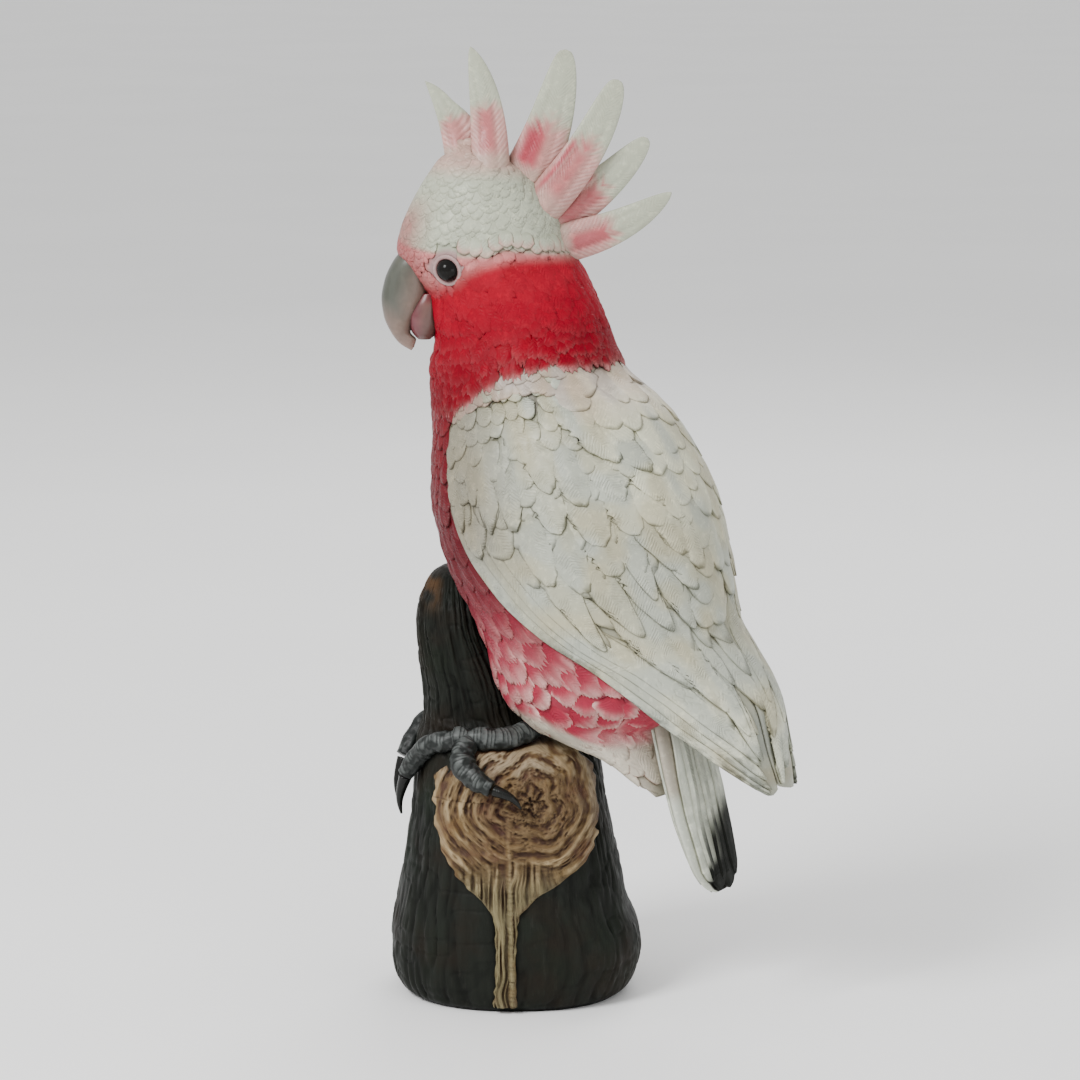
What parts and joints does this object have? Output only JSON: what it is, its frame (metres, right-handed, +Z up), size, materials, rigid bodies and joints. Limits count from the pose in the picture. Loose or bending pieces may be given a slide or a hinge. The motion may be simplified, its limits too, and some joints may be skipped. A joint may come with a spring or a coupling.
{
  "type": "painted cast-resin galah statue on a tree stump",
  "caption": "Life-size painted resin garden statue of a galah with raised crest, perched upright on a bark-covered stump with a patch of bare cut wood.",
  "frame": {"origin": "middle of the stump's flat underside, at floor level", "axes": "+Z up; the head looks along -X, so the bird's left side faces -Y; the tail points along +X and towards -Y"},
  "size_m": [0.1791, 0.1337, 0.4151],
  "materials": {
    "crown_paint": "off-white paint on cast resin, satin varnish",
    "neck_paint": "crimson paint on cast resin, satin varnish",
    "breast_paint": "rose pink paint on cast resin with pale dry-brushed feather edges, satin varnish",
    "wing_paint": "pale grey paint on cast resin with dark wash in the grooves, satin varnish",
    "tail_paint": "pale grey paint fading to black at the end, satin varnish",
    "bill_paint": "grey horn-coloured paint, glossy",
    "eye_gloss": "glossy black",
    "foot_paint": "dark blue-grey paint with pale dry-brushed scales, satin varnish",
    "claw_paint": "black paint, satin varnish",
    "bark_paint": "near-black paint on cast bark grooves, satin varnish",
    "cut_wood_paint": "golden brown paint with dark growth-ring grooves and cream dry-brushing, satin varnish"
  },
  "bodies": {
    "root": {"head": "crown_paint", "crest_feather_1": "crown_paint", "crest_feather_2": "crown_paint", "crest_feather_3": "crown_paint", "crest_feather_4": "crown_paint", "crest_feather_5": "crown_paint", "crest_feather_6": "crown_paint", "neck": "neck_paint", "trunk": "breast_paint", "wing_left": "wing_paint", "wing_right": "wing_paint", "tail": "tail_paint", "upper_bill": "bill_paint", "lower_bill": "bill_paint", "eye_left": "eye_gloss", "eye_right": "eye_gloss", "leg_left": "foot_paint", "leg_right": "foot_paint", "claw_outer_left": "claw_paint", "claw_inner_left": "claw_paint", "claw_outer_right": "claw_paint", "claw_inner_right": "claw_paint", "stump": "bark_paint", "cut_wood": "cut_wood_paint"}
  },
  "joints": []
}
